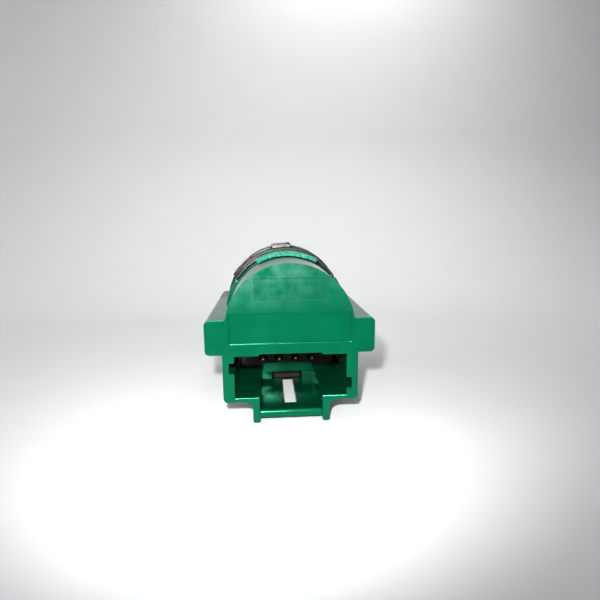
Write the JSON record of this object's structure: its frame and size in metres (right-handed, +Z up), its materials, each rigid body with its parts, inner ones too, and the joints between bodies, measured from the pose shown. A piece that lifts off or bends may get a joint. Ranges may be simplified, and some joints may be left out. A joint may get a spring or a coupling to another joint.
{
  "type": "panel push button",
  "caption": "Short-travel momentary push button with a round nose for a panel hole, side rails, and a keyed wiring socket at its rear.",
  "frame": {"origin": "on the button's axis, in the plane of the two seats that bear on the back of the panel", "axes": "+Y along the axis from the connector to the button, +Z up with the feet below, +X to the right seen from the connector"},
  "size_m": [0.0224, 0.0308, 0.0233],
  "materials": {
    "green_plastic": "glossy moulded green",
    "black_plastic": "semi-gloss moulded black",
    "trim_plastic": "satin dark grey",
    "cap_plastic": "fine soft-touch black",
    "window_white": "translucent white",
    "window_amber": "translucent amber",
    "natural_plastic": "natural acetal",
    "reflector_white": "matt white",
    "spring_steel": "drawn wire",
    "silicone": "matt grey silicone",
    "carbon_pill": "matt carbon-filled rubber",
    "board_laminate": "solder-masked laminate",
    "gold_pad": "plated",
    "terminal_copper": "drawn copper alloy",
    "solder": "bright solder",
    "lamp_case": "white lamp case",
    "chip_ceramic": "black glaze with pale ends",
    "clear_acrylic": "polished clear",
    "insulator_plastic": "moulded black"
  },
  "bodies": {
    "housing": {"rear_housing": "green_plastic", "front_body": "black_plastic", "trim_ring": "trim_plastic", "return_spring": "spring_steel", "dome_mat": "silicone", "circuit_board": "board_laminate", "contact_pads": "gold_pad", "led_backlight": "lamp_case", "led_indicator": "lamp_case", "resistor_backlight": "chip_ceramic", "resistor_indicator": "chip_ceramic", "light_guide": "clear_acrylic", "indicator_light_pipe": "clear_acrylic", "light_shield": "reflector_white", "terminal_insulator": "insulator_plastic", "terminal_1": "terminal_copper", "terminal_2": "terminal_copper", "terminal_3": "terminal_copper", "terminal_4": "terminal_copper", "solder_joints": "solder"},
    "button": {"push_cap": "cap_plastic", "cap_lens": "window_white", "indicator_lens": "window_amber", "plunger": "natural_plastic", "contact_pill_left": "carbon_pill", "contact_pill_right": "carbon_pill"}
  },
  "joints": [
    {"name": "button_press", "type": "slide", "parent": "housing", "child": "button", "axis": [0, -1, 0], "range_m": [0, 0.0018], "stiffness_N_per_m": 900, "springref_m": -0.0015, "deforming": ["return_spring", "dome_mat"]}
  ]
}
